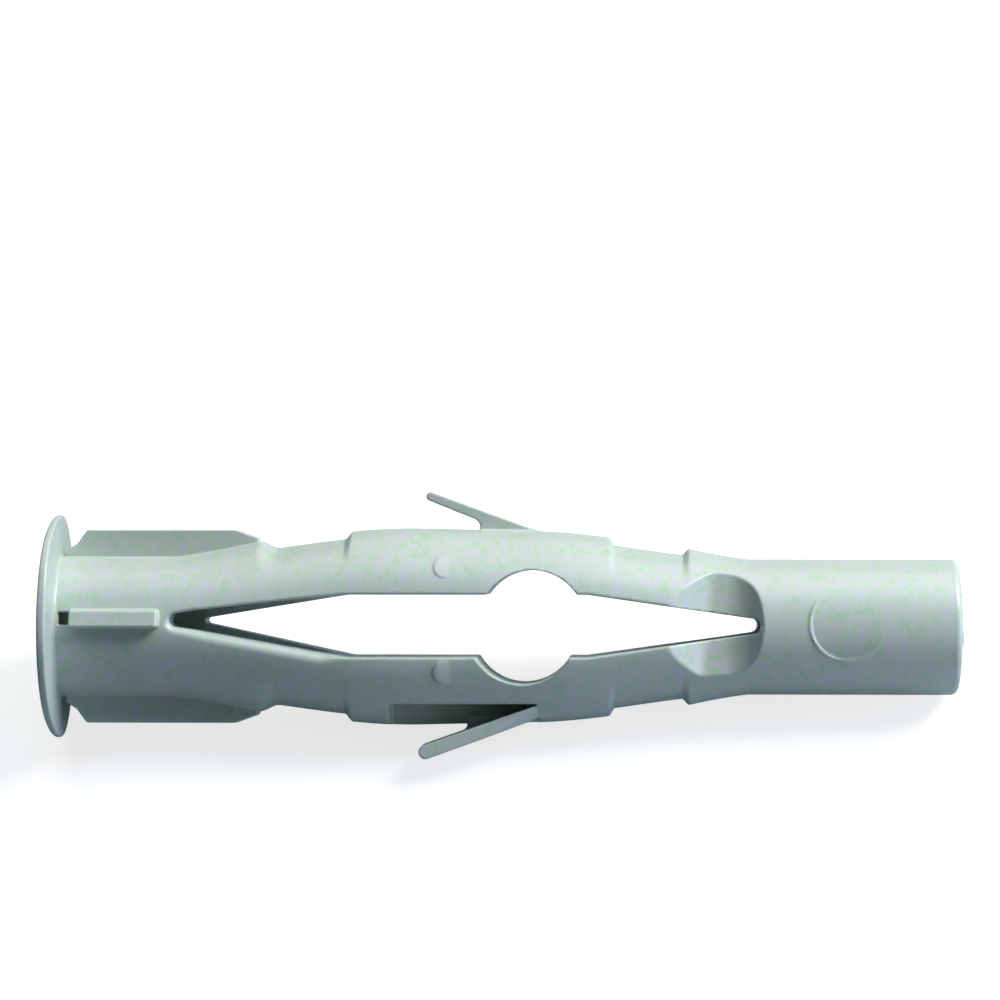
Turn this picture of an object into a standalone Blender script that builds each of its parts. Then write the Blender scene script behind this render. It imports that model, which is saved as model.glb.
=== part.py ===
"""A nylon wall plug for an 8 mm hole and a 5 mm screw, moulded in one piece.

The plug is drawn in its own frame. Its own +X runs from the face of the collar to the nose,
its two legs part along Y, and the slot between them runs through along Z. After half a turn
about X the plug looks nearly the same, but for the slot's near end. It is then laid down as it
comes to rest, on the rim of its collar, the end of its nose and the tip of one barb.
"""

import math

import bmesh
import bpy
from mathutils import Matrix

MM = 0.001

# The collar that stops on the wall
COLLAR_RADIUS = 6.2 * MM
COLLAR_THICKNESS = 0.5 * MM
COLLAR_EDGE = 0.15 * MM
COLLAR_FILLET = 0.3 * MM

# The lengths along the plug, one after the other, from the face of the collar
NECK_LENGTH = 6.9 * MM
TAPER_IN_LENGTH = 9.7 * MM
PARALLEL_LENGTH = 12.9 * MM
TAPER_OUT_LENGTH = 9.6 * MM
NOSE_LENGTH = 10.85 * MM

# The round section of the sleeve, and how far each leg bows outwards
NECK_RADIUS = 3.87 * MM
NOSE_RADIUS = 3.73 * MM
NOSE_EDGE = 0.2 * MM
LEG_BOW_NEAR = 1.24 * MM
LEG_BOW_FAR = 1.12 * MM
BOW_RISE_LENGTH = 13.6 * MM
BOW_RISE_LEAD = 0.4 * MM
BOW_FALL_LENGTH = 12.2 * MM
BOW_FALL_SHORT = 0.65 * MM

# The shoulder under the end of each fin, the raised band and the locking ridge
SHOULDER_HEIGHT = 0.5 * MM
SHOULDER_RUN = 4.5 * MM
SHOULDER_DROP = 1.2 * MM
BAND_HEIGHT = 0.39 * MM
BAND_LENGTH = 14.15 * MM
BAND_LEAD = 0.05 * MM
BAND_RAMP = 0.45 * MM
BAND_END_RAMP = 0.08 * MM
RIDGE_HEIGHT = 0.38 * MM
RIDGE_SETBACK = 3.85 * MM
RIDGE_RAMP = 0.25 * MM
RIDGE_RUN = 3.0 * MM

# The two wide fins, and the two short ribs between them, that stop the plug from turning
FIN_RADIUS = 5.35 * MM
FIN_THICKNESS = 1.0 * MM
FIN_GAP = 0.2 * MM
FIN_LEAD = 1.05 * MM
FIN_LENGTH = 8.4 * MM
FIN_RUNOUT = 1.25 * MM
FIN_RUNOUT_DROP = 0.45 * MM
RIB_RADIUS = 4.6 * MM
RIB_WIDTH = 0.97 * MM
RIB_SIDESTEP = 0.47 * MM
RIB_START = 1.45 * MM
RIB_LENGTH = 4.85 * MM
FOOT_DEPTH = 0.5 * MM
VENT_LENGTH = 0.65 * MM
VENT_WIDTH = 0.68 * MM
VENT_FLOOR = 2.8 * MM

# The slot between the legs: wide in front of the axis, narrow behind it, with chamfered edges
SLOT_HALF_HEIGHT = 1.71 * MM
SLOT_RISE_NEAR = 0.27 * MM
SLOT_RISE_FAR = 0.07 * MM
NARROW_SETBACK = 1.3 * MM
NARROW_NOSE = 0.17 * MM
MOUTH_NOSE = 0.35 * MM
MOUTH_STEP = 0.6 * MM
SLOT_END_NOSE = 0.4 * MM
CHAMFER_FLOOR = 3.1 * MM
CHAMFER_WIDE = 0.62 * MM
CHAMFER_END = 0.28 * MM
CHAMFER_FINE = 0.14 * MM
CHAMFER_FADE = 1.2 * MM

# The hole across both legs, and the scoops at the far end of the slot
HOLE_RADIUS = 2.95 * MM
HOLE_PART = 0.17 * MM
HOLE_STAGGER = 0.24 * MM
HOLE_BEFORE_TAPER = 3.15 * MM
SCOOP_FLOOR = 2.6 * MM
SCOOP_FLOOR_LENGTH = 1.0 * MM
SCOOP_FLOOR_BEFORE_END = 2.95 * MM
SCOOP_RAMP_ANGLE = math.radians(29.0)
SCOOP_ARC_RADIUS = 2.35 * MM

# The barbs that spring outwards, and the pockets that they fold into
BARB_THICKNESS = 0.72 * MM
BARB_WIDTH = 2.5 * MM
BARB_REACH = 7.0 * MM
BARB_SIDESTEP = 0.14 * MM
BARB_ANGLE = math.radians(20.0)
BARB_LENGTH = 7.0 * MM
BARB_OVERLAP = 0.3 * MM
BARB_ROOT_PAST_POCKET = 0.45 * MM
POCKET_FLOOR = 4.2 * MM
POCKET_LENGTH = 8.25 * MM
POCKET_BEFORE_TAPER = 2.5 * MM
WEB_REACH = 0.75 * MM
WEB_BACK = -0.15 * MM
WEB_FRONT = 0.3 * MM

# The bore for the screw
BORE_MOUTH_RADIUS = 2.95 * MM
BORE_ENTRY_RADIUS = 2.6 * MM
BORE_RADIUS = 1.6 * MM
BORE_LEAD = 0.5 * MM
BORE_ENTRY_LENGTH = 4.0 * MM

# The small stub that the gate leaves on the end of the nose
GATE_RADIUS = 0.4 * MM
GATE_HEIGHT = 0.12 * MM
GATE_TURN = math.radians(-11.0)

# How finely curves are drawn, and how far a cutter stands past what it cuts
RING_SIDES = 36
CURVE_STEP = 1.1 * MM
EDGE_STEPS = 3
BARB_TIP_STEPS = 6
SLOT_TAPER_STEPS = 5
SLOT_END_ANGLES = (math.radians(30.0), math.radians(60.0), math.radians(81.0))
HOLE_STEPS = 16
SCOOP_STEPS = 9
GATE_STEPS = 12
SHARP_ANGLE = math.radians(30.0)
PAST = 1.0 * MM

NYLON_COLOUR = (0.42, 0.50, 0.47, 1.0)
NYLON_ROUGHNESS = 0.42

# The places along the plug that those lengths give
slot_start = NECK_LENGTH
parallel_start = slot_start + TAPER_IN_LENGTH
parallel_end = parallel_start + PARALLEL_LENGTH
slot_end = parallel_end + TAPER_OUT_LENGTH
overall_length = slot_end + NOSE_LENGTH
narrow_start = slot_start + NARROW_SETBACK
shoulder_top = slot_start + SHOULDER_RUN
band_start = parallel_start + BAND_LEAD
band_end = band_start + BAND_LENGTH
ridge_top = slot_end - RIDGE_SETBACK + RIDGE_RAMP
pocket_end = parallel_end - POCKET_BEFORE_TAPER
hole_centre = parallel_end - HOLE_BEFORE_TAPER
scoop_floor_start = slot_end - SCOOP_FLOOR_BEFORE_END
barb_root = pocket_end + BARB_ROOT_PAST_POCKET
barb_tip = barb_root - BARB_LENGTH * math.cos(BARB_ANGLE)

# How the plug lies: it leans from the rim of the collar down to the nose, and it is rolled
# over until the lower corner of one barb's tip touches too. Each ring has a flat side there.
flat_share = math.cos(math.pi / RING_SIDES)
collar_seat = COLLAR_THICKNESS - COLLAR_EDGE
nose_seat = overall_length - NOSE_EDGE
rest_lean = math.atan2((COLLAR_RADIUS - NOSE_RADIUS) * flat_share, nose_seat - collar_seat)
axis_height = COLLAR_RADIUS * flat_share - (barb_tip - collar_seat) * math.tan(rest_lean)
tip_reach = BARB_REACH + BARB_THICKNESS / 2 - BARB_SIDESTEP
tip_turn = math.asin(axis_height / math.hypot(tip_reach, BARB_OVERLAP))
rest_roll = tip_turn - math.atan2(BARB_OVERLAP, tip_reach)


def clear_scene():
    """Takes away everything that the scene starts with."""
    for item in list(bpy.data.objects):
        bpy.data.objects.remove(item, do_unlink=True)


def ease(share):
    """A smooth step from 0 to 1, level at both ends."""
    share = min(max(share, 0.0), 1.0)
    return 0.5 - 0.5 * math.cos(math.pi * share)


def ramp(x, low, high):
    """A straight step from 0 to 1 as x goes from low to high."""
    return min(max((x - low) / (high - low), 0.0), 1.0)


def sleeve_radius(x):
    """The radius of the round section, which tapers slightly from neck to nose."""
    return NECK_RADIUS + (NOSE_RADIUS - NECK_RADIUS) * ramp(x, slot_start, slot_end)


def leg_bow(x):
    """How far the leg's round section is moved outwards at x."""
    rise_start = slot_start - BOW_RISE_LEAD
    rise_end = rise_start + BOW_RISE_LENGTH
    fall_end = slot_end - BOW_FALL_SHORT
    fall_start = fall_end - BOW_FALL_LENGTH
    crest = LEG_BOW_NEAR + (LEG_BOW_FAR - LEG_BOW_NEAR) * ramp(x, rise_end, fall_start)
    rise = ease((x - rise_start) / BOW_RISE_LENGTH)
    fall = ease((fall_end - x) / BOW_FALL_LENGTH)
    return crest * rise * fall


def leg_relief(x):
    """The shoulder, the raised band and the ridge, which add to the bow."""
    shoulder = ramp(x, slot_start, shoulder_top)
    shoulder *= 1.0 - ramp(x, shoulder_top, shoulder_top + SHOULDER_DROP)
    band = ramp(x, band_start - BAND_RAMP, band_start)
    band *= 1.0 - ramp(x, band_end, band_end + BAND_END_RAMP)
    ridge = ramp(x, ridge_top - RIDGE_RAMP, ridge_top)
    ridge *= 1.0 - ramp(x, ridge_top, ridge_top + RIDGE_RUN)
    return SHOULDER_HEIGHT * shoulder + BAND_HEIGHT * band + RIDGE_HEIGHT * ridge


def half_height(x):
    """How far the outside of a leg stands from the axis, bow and relief included."""
    return sleeve_radius(x) + leg_bow(x) + leg_relief(x)


def sleeve_stations():
    """The places along the sleeve where its section is drawn, corners included."""
    corners = [slot_start - BOW_RISE_LEAD, slot_start, shoulder_top]
    corners += [shoulder_top + SHOULDER_DROP, band_start - BAND_RAMP, band_start]
    corners += [band_end, band_end + BAND_END_RAMP, ridge_top - RIDGE_RAMP, ridge_top]
    corners += [ridge_top + RIDGE_RUN, slot_end]
    corners.sort()
    places = []
    for start, end in zip(corners, corners[1:]):
        steps = max(1, round((end - start) / CURVE_STEP))
        places += [start + (end - start) * step / steps for step in range(steps)]
    return places + [corners[-1]]


def arc(centre_x, centre_y, radius, start, end, steps):
    """Points on an arc from one angle to another, both ends included."""
    angles = [start + (end - start) * step / steps for step in range(steps + 1)]
    return [(centre_x + radius * math.cos(a), centre_y + radius * math.sin(a)) for a in angles]


def skin_profile():
    """The outer skin as (x, radius, bow) from the collar's face to the end of the nose."""
    quarter = math.pi / 2
    rim = COLLAR_RADIUS - COLLAR_EDGE
    collar = arc(COLLAR_EDGE, rim, COLLAR_EDGE, math.pi, quarter, EDGE_STEPS)
    far_edge = COLLAR_THICKNESS - COLLAR_EDGE
    collar += arc(far_edge, rim, COLLAR_EDGE, quarter, 0.0, EDGE_STEPS)
    fillet_x = COLLAR_THICKNESS + COLLAR_FILLET
    fillet_y = NECK_RADIUS + COLLAR_FILLET
    collar += arc(fillet_x, fillet_y, COLLAR_FILLET, math.pi, 3 * quarter, EDGE_STEPS)
    nose_y = NOSE_RADIUS - NOSE_EDGE
    nose = arc(overall_length - NOSE_EDGE, nose_y, NOSE_EDGE, quarter, 0.0, EDGE_STEPS)
    skin = [(x, radius, 0.0) for x, radius in collar]
    skin += [(x, sleeve_radius(x), leg_bow(x) + leg_relief(x)) for x in sleeve_stations()]
    return skin + [(x, radius, 0.0) for x, radius in nose]


def new_object(name, bm):
    """Turns a finished bmesh into an object with its faces pointing out."""
    bmesh.ops.recalc_face_normals(bm, faces=bm.faces)
    mesh = bpy.data.meshes.new(name)
    bm.to_mesh(mesh)
    bm.free()
    item = bpy.data.objects.new(name, mesh)
    bpy.context.scene.collection.objects.link(item)
    return item


def loft(name, rings):
    """A closed solid through rings of points, each ring with as many points."""
    bm = bmesh.new()
    drawn = [[bm.verts.new(point) for point in ring] for ring in rings]
    for near, far in zip(drawn, drawn[1:]):
        for index in range(len(near)):
            following = (index + 1) % len(near)
            bm.faces.new((near[index], near[following], far[following], far[index]))
    bm.faces.new(drawn[0])
    bm.faces.new(drawn[-1])
    return new_object(name, bm)


def section(x, radius, bow):
    """One round section at x, parted by twice the bow along Y, with a flat side to lie on."""
    step = 2 * math.pi / RING_SIDES
    points = []
    for index in range(RING_SIDES):
        angle = (index + 0.5) * step + rest_roll
        side = math.copysign(bow, math.sin(angle))
        points.append((x, radius * math.sin(angle) + side, radius * math.cos(angle)))
    return points


def turned(name, profile):
    """A solid turned about X from (x, radius) pairs."""
    return loft(name, [section(x, radius, 0.0) for x, radius in profile])


def prism(name, outline, low, high):
    """An outline in X and Y, carried along Z from low to high."""
    return loft(name, [[(x, y, z) for x, y in outline] for z in (low, high)])


def apply_boolean(body, tool, operation):
    """Joins the tool to the body or cuts it away, hides the tool and makes it follow."""
    modifier = body.modifiers.new(tool.name, "BOOLEAN")
    modifier.operation = operation
    modifier.solver = "EXACT"
    modifier.object = tool
    tool.parent = body
    tool.hide_render = True
    tool.display_type = "WIRE"


def both_sides(body, name, outline, low, high, operation, sidestep=0.0):
    """Applies a prism and its copy after half a turn about X, both moved by a sidestep in Y."""
    first = [(x, y + sidestep) for x, y in outline]
    second = [(x, sidestep - y) for x, y in outline]
    apply_boolean(body, prism(name + "_a", first, low, high), operation)
    apply_boolean(body, prism(name + "_b", second, -high, -low), operation)


def add_fins(body):
    """The two wide fins, in the plane of the legs, with a slanted start and end."""
    foot = NECK_RADIUS - FOOT_DEPTH
    start = COLLAR_THICKNESS + FIN_GAP
    flat_start = start + FIN_LEAD
    flat_end = flat_start + FIN_LENGTH
    end = flat_end + FIN_RUNOUT
    low_edge = FIN_RADIUS - FIN_RUNOUT_DROP
    outline = [(start, foot), (start, NECK_RADIUS), (flat_start, FIN_RADIUS)]
    outline += [(flat_end, FIN_RADIUS), (end, low_edge), (end + FOOT_DEPTH, foot)]
    both_sides(body, "fin", outline, -FIN_THICKNESS / 2, FIN_THICKNESS / 2, "UNION")


def add_ribs(body):
    """The two short ribs, front and back, and the small vent between each and the collar."""
    low = RIB_SIDESTEP - RIB_WIDTH / 2
    high = RIB_SIDESTEP + RIB_WIDTH / 2
    end = RIB_START + RIB_LENGTH
    outline = [(RIB_START, low), (end, low), (end, high), (RIB_START, high)]
    both_sides(body, "rib", outline, NECK_RADIUS - FOOT_DEPTH, RIB_RADIUS, "UNION")
    vent_start = RIB_START - VENT_LENGTH
    low = RIB_SIDESTEP - VENT_WIDTH / 2
    high = RIB_SIDESTEP + VENT_WIDTH / 2
    outline = [(vent_start, low), (RIB_START, low), (RIB_START, high), (vent_start, high)]
    both_sides(body, "vent", outline, VENT_FLOOR, RIB_RADIUS + PAST, "DIFFERENCE")


def add_barbs(body):
    """The pockets, then the barbs that lie over them, each with a thin web at its root."""
    start = pocket_end - POCKET_LENGTH
    far_y = -(BARB_REACH + PAST)
    outline = [(start, -POCKET_FLOOR), (pocket_end, -POCKET_FLOOR)]
    outline += [(pocket_end, far_y), (start, far_y)]
    both_sides(body, "pocket", outline, 0.0, NECK_RADIUS + PAST, "DIFFERENCE")
    half = BARB_THICKNESS / 2
    root_y = BARB_LENGTH * math.sin(BARB_ANGLE) - BARB_REACH
    quarter = math.pi / 2
    turn = quarter + BARB_ANGLE
    outline = arc(barb_tip, -BARB_REACH, half, turn, turn + math.pi, BARB_TIP_STEPS)
    for side in (-half, half):
        corner_x = barb_root - side * math.sin(BARB_ANGLE)
        outline.append((corner_x, root_y + side * math.cos(BARB_ANGLE)))
    both_sides(body, "barb", outline, -BARB_OVERLAP, BARB_WIDTH, "UNION", BARB_SIDESTEP)
    clear = BARB_REACH - half - half_height(barb_tip)
    corner = barb_tip + clear / math.tan(BARB_ANGLE)
    web_start = corner - WEB_REACH
    web_end = corner + WEB_REACH
    web_foot = FOOT_DEPTH - half_height(corner)
    outline = [(web_start, web_foot), (web_end, web_foot)]
    for x in (web_end, web_start):
        outline.append((x, (x - barb_tip) * math.tan(BARB_ANGLE) - BARB_REACH))
    both_sides(body, "web", outline, WEB_BACK, WEB_FRONT, "UNION", BARB_SIDESTEP)


def slot_outline(start, start_nose, end_nose, widen):
    """The slot's outline at one depth.

    It runs from a round end at the left, along a straight taper to the parallel stretch,
    and on to a round end at the right. The widen function adds to its half height.
    """
    left = [(start + start_nose * (1 - math.cos(a)), start_nose * math.sin(a))
            for a in SLOT_END_ANGLES]
    right = [(slot_end - end_nose * (1 - math.cos(a)), end_nose * math.sin(a))
             for a in reversed(SLOT_END_ANGLES)]
    upper = list(left)
    first_x, first_y = left[-1]
    for step in range(1, SLOT_TAPER_STEPS + 1):
        share = step / SLOT_TAPER_STEPS
        x = first_x + (parallel_start - first_x) * share
        upper.append((x, first_y + (SLOT_HALF_HEIGHT - first_y) * share))
    upper.append((parallel_end, SLOT_HALF_HEIGHT))
    upper += right
    points = [(x, y + widen(x)) for x, y in upper]
    points.insert(0, (start - widen(start), 0.0))
    points.append((slot_end + widen(slot_end), 0.0))
    lower = [(x, -y) for x, y in reversed(points[1:-1])]
    return [(x, y + slot_middle(x)) for x, y in points + lower]


def slot_middle(x):
    """How far above the axis the middle of the slot lies."""
    return SLOT_RISE_NEAR + (SLOT_RISE_FAR - SLOT_RISE_NEAR) * ramp(x, narrow_start, parallel_start)


def chamfer_width(x):
    """The chamfer along the slot: it widens along the first taper, then ends."""
    wide = CHAMFER_END + (CHAMFER_WIDE - CHAMFER_END) * ramp(x, slot_start, parallel_start)
    fade = ramp(x, parallel_start - CHAMFER_FADE, parallel_start)
    return wide + (CHAMFER_FINE - wide) * fade


def cut_slot(body):
    """The slot: wide in front of the axis, narrow behind it, and chamfered at the skin."""
    skin_depth = NECK_RADIUS - CHAMFER_FLOOR
    outer = NECK_RADIUS + FOOT_DEPTH
    half_step = MOUTH_STEP / 2

    def no_widening(_x):
        return 0.0

    def chamfered(x):
        return chamfer_width(x) * (outer - CHAMFER_FLOOR) / skin_depth

    def narrow(widen):
        return slot_outline(narrow_start, NARROW_NOSE, SLOT_END_NOSE, widen)

    def wide(widen):
        return slot_outline(slot_start, MOUTH_NOSE, SLOT_END_NOSE, widen)

    layers = [(narrow(chamfered), -outer), (narrow(no_widening), -CHAMFER_FLOOR)]
    layers += [(narrow(no_widening), -half_step), (wide(no_widening), half_step)]
    layers += [(wide(no_widening), CHAMFER_FLOOR), (wide(chamfered), outer)]
    rings = [[(x, y, z) for x, y in outline] for outline, z in layers]
    apply_boolean(body, loft("slot", rings), "DIFFERENCE")


def cut_hole(body):
    """The hole across both legs, each half round about its own centre."""
    half_turn = math.pi
    upper_x = hole_centre + HOLE_STAGGER
    lower_x = hole_centre - HOLE_STAGGER
    outline = arc(upper_x, HOLE_PART, HOLE_RADIUS, 0.0, half_turn, HOLE_STEPS)
    outline += arc(lower_x, -HOLE_PART, HOLE_RADIUS, half_turn, 2 * half_turn, HOLE_STEPS)
    depth = NECK_RADIUS + PAST
    apply_boolean(body, prism("cross_hole", outline, -depth, depth), "DIFFERENCE")


def cut_scoops(body):
    """The hollows across the far end of the slot: a ramp down, a level floor and an arc up."""
    reach = NECK_RADIUS + PAST
    roof = SCOOP_FLOOR + SCOOP_ARC_RADIUS + PAST
    ramp_start = scoop_floor_start - (roof - SCOOP_FLOOR) / math.tan(SCOOP_RAMP_ANGLE)
    arc_start = scoop_floor_start + SCOOP_FLOOR_LENGTH
    arc_middle = SCOOP_FLOOR + SCOOP_ARC_RADIUS
    outline = [(ramp_start, roof), (scoop_floor_start, SCOOP_FLOOR)]
    outline += arc(arc_start, arc_middle, SCOOP_ARC_RADIUS, -math.pi / 2, 0.0, SCOOP_STEPS)
    outline.append((arc_start + SCOOP_ARC_RADIUS, roof))
    for name, side in (("scoop_front", 1), ("scoop_back", -1)):
        rings = [[(x, y, side * z) for x, z in outline] for y in (-reach, reach)]
        apply_boolean(body, loft(name, rings), "DIFFERENCE")


def cut_bore(body):
    """The bore: a funnelled mouth, a wide entry, a cone and a narrow run to the nose."""
    funnel = BORE_MOUTH_RADIUS - BORE_ENTRY_RADIUS
    profile = [(-BORE_LEAD, BORE_MOUTH_RADIUS + funnel), (0.0, BORE_MOUTH_RADIUS)]
    profile += [(BORE_LEAD, BORE_ENTRY_RADIUS), (BORE_ENTRY_LENGTH, BORE_ENTRY_RADIUS)]
    profile += [(narrow_start, BORE_RADIUS), (overall_length + PAST, BORE_RADIUS)]
    apply_boolean(body, turned("bore", profile), "DIFFERENCE")


def add_gate_stub(body):
    """The small round stub on the end face of the nose."""
    ring = (BORE_RADIUS + NOSE_RADIUS) / 2
    centre_y = ring * math.sin(GATE_TURN)
    centre_z = ring * math.cos(GATE_TURN)
    outline = arc(centre_y, centre_z, GATE_RADIUS, 0.0, 2 * math.pi, GATE_STEPS)[:-1]
    ends = (overall_length - FOOT_DEPTH, overall_length + GATE_HEIGHT)
    rings = [[(x, y, z) for y, z in outline] for x in ends]
    apply_boolean(body, loft("gate_stub", rings), "UNION")


def nylon():
    """The satin grey nylon of the moulding."""
    material = bpy.data.materials.new("nylon")
    material.use_nodes = True
    shader = material.node_tree.nodes["Principled BSDF"]
    shader.inputs["Base Color"].default_value = NYLON_COLOUR
    shader.inputs["Roughness"].default_value = NYLON_ROUGHNESS
    shader.inputs["Metallic"].default_value = 0.0
    return material


def lay_down(plug):
    """Rests the plug on its collar, its nose and one barb, centred in X and Y."""
    turn = Matrix.Rotation(rest_lean, 4, "Y") @ Matrix.Rotation(rest_roll, 4, "X")
    evaluated = plug.evaluated_get(bpy.context.evaluated_depsgraph_get())
    corners = [turn @ vertex.co for vertex in evaluated.data.vertices]
    plug.rotation_euler = (rest_roll, rest_lean, 0.0)
    middle_x = (min(c.x for c in corners) + max(c.x for c in corners)) / 2
    middle_y = (min(c.y for c in corners) + max(c.y for c in corners)) / 2
    plug.location = (-middle_x, -middle_y, -min(c.z for c in corners))


def build_plug():
    """The whole plug: skin, pockets, barbs and fins, then every opening."""
    plug = loft("wall_plug", [section(*station) for station in skin_profile()])
    add_barbs(plug)
    add_fins(plug)
    add_ribs(plug)
    add_gate_stub(plug)
    cut_slot(plug)
    cut_hole(plug)
    cut_scoops(plug)
    cut_bore(plug)
    plug.data.materials.append(nylon())
    plug.data.shade_smooth()
    plug.data.set_sharp_from_angle(angle=SHARP_ANGLE)
    lay_down(plug)


clear_scene()
build_plug()
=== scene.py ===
"""The looks of the nylon wall plug: its moulded surface, its satin nylon, the table and the light.

The plug is one moulding, so it is made as one surface. Each form of the moulding gives, for any
places, how far outside it they lie. Those distances are joined and cut with rounded edges, and
the surface is where the joined distance is nought. Lengths of the plug are in millimetres, in the
plug's own frame: u runs from the face of the collar to the nose, v is the way the legs part, and
w is the way the slot runs through.
"""

import logging
import math
from dataclasses import dataclass, field, replace
from enum import Enum

import bmesh
import bpy
import numpy as np
from mathutils import Matrix, Vector


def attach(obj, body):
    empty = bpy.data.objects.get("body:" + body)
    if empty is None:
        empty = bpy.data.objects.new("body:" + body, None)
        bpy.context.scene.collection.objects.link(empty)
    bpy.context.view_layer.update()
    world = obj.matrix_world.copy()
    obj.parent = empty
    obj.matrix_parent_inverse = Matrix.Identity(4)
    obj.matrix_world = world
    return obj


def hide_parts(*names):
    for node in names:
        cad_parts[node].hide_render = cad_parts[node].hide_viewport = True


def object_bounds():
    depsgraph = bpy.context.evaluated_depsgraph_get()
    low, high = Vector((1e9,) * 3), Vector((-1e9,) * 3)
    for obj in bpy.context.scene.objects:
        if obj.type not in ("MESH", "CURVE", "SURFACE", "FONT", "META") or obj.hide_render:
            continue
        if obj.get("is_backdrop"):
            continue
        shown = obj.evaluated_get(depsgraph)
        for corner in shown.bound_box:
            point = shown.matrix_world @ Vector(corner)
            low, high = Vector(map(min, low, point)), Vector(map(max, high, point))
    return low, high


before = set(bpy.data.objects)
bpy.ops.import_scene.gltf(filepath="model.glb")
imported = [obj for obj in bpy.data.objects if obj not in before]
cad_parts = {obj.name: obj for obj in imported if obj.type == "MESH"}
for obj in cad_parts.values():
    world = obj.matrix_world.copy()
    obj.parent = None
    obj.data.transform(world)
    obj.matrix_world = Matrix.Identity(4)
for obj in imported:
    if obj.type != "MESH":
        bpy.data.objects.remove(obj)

MM = 0.001
NODE = "wall_plug"
SHORTEST = 1e-12
Wire = tuple[bpy.types.Node, str, bpy.types.Node, str]

log = logging.getLogger("wall_plug")


class Side(Enum):
    """The two halves of the plug, which are a half turn apart about its axis."""

    FRONT = 1.0
    BACK = -1.0


@dataclass(frozen=True)
class Places:
    """Places in the plug's own frame, as three arrays of the same length."""

    u: np.ndarray
    v: np.ndarray
    w: np.ndarray

    def turned(self, side: Side, sidestep: float = 0.0) -> "Places":
        """The same places as seen from one half of the plug, with a sidestep along v taken off."""
        return Places(self.u, (self.v - sidestep) * side.value, self.w * side.value)

    def moved(self, step: np.ndarray) -> "Places":
        """The places moved by one step along u, v and w."""
        return Places(self.u + step[0], self.v + step[1], self.w + step[2])


def ramp(x: np.ndarray, low: float, high: float) -> np.ndarray:
    """A straight step from 0 to 1 as x goes from low to high."""
    return np.clip((x - low) / (high - low), 0.0, 1.0)


def soft_ramp(x: np.ndarray, low: float, high: float) -> np.ndarray:
    """A step from 0 to 1 with rounded corners: three times t squared, less twice t cubed."""
    share = ramp(x, low, high)
    return share * share * (3.0 - 2.0 * share)


def ease(share: np.ndarray) -> np.ndarray:
    """A step from 0 to 1 as half a cosine wave, level at both ends."""
    return 0.5 - 0.5 * np.cos(math.pi * np.clip(share, 0.0, 1.0))


def join(first: np.ndarray, second: np.ndarray, fillet: float) -> np.ndarray:
    """Joins two solids with a fillet.

    The distance is the larger of the fillet's radius and the smaller distance, less the length
    of the two shortfalls from that radius.

    Args:
        first: Distances from one solid.
        second: Distances from the other.
        fillet: The radius of the fillet between them.

    Returns:
        Distances from the joined solid.
    """
    short = np.hypot(np.maximum(fillet - first, 0.0), np.maximum(fillet - second, 0.0))
    return np.maximum(np.minimum(first, second), fillet) - short


def common(first: np.ndarray, second: np.ndarray, edge: float) -> np.ndarray:
    """What two solids share, with its new edges rounded to a radius.

    Args:
        first: Distances from one solid.
        second: Distances from the other.
        edge: The radius of the rounded edges.

    Returns:
        Distances from the shared solid.
    """
    over = np.hypot(np.maximum(first + edge, 0.0), np.maximum(second + edge, 0.0))
    return np.minimum(np.maximum(first, second), -edge) + over


def eased_larger(first: np.ndarray, second: np.ndarray, blend: float) -> np.ndarray:
    """The larger, plus the squared shortfall of their gap under the blend, over four blends."""
    alike = np.maximum(blend - np.abs(first - second), 0.0)
    return np.maximum(first, second) + alike * alike / (4.0 * blend)


def cut(solid: np.ndarray, tool: np.ndarray, edge: float) -> np.ndarray:
    """The solid without the tool, with its new edges rounded to a radius."""
    return common(solid, -tool, edge)


def tapered_capsule(x: np.ndarray, y: np.ndarray, length: np.ndarray,
                    near: np.ndarray, far: np.ndarray) -> np.ndarray:
    """A flat shape between two circles on the x axis and their common tangents.

    The near circle is at 0 and the far one at length. A place beside the tangents is as far out
    as its distance from the tangent line, and the others are measured from a circle.

    Args:
        x: Places along the axis.
        y: Places across it.
        length: How far apart the circles are.
        near: The radius of the circle at 0.
        far: The radius of the circle at length.

    Returns:
        Distances from the shape.
    """
    across = np.abs(y)
    sine = (near - far) / length
    cosine = np.sqrt(1.0 - sine * sine)
    along = across * -sine + x * cosine
    beside = x * sine + across * cosine - near
    round_near = np.hypot(x, across) - near
    round_far = np.hypot(x - length, across) - far
    distance = np.where(along < 0.0, round_near, beside)
    return np.where(along > length * cosine, round_far, distance)


@dataclass(frozen=True)
class Lengths:
    """The lengths along the plug, one after the other, and the radius of its sleeve."""

    neck: float = 6.9
    taper_in: float = 9.7
    parallel: float = 12.9
    taper_out: float = 9.6
    nose: float = 10.85
    neck_radius: float = 3.87
    nose_radius: float = 3.73

    @property
    def slot_start(self) -> float:
        """Where the slot starts at the skin."""
        return self.neck

    @property
    def parallel_start(self) -> float:
        """Where the legs start to run parallel."""
        return self.slot_start + self.taper_in

    @property
    def parallel_end(self) -> float:
        """Where the legs start to close again."""
        return self.parallel_start + self.parallel

    @property
    def slot_end(self) -> float:
        """Where the slot ends."""
        return self.parallel_end + self.taper_out

    @property
    def overall(self) -> float:
        """The end of the nose."""
        return self.slot_end + self.nose

    def radius(self, u: np.ndarray) -> np.ndarray:
        """The sleeve's radius, which shrinks evenly from neck to nose."""
        share = ramp(u, self.slot_start, self.slot_end)
        return self.neck_radius + (self.nose_radius - self.neck_radius) * share


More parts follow.
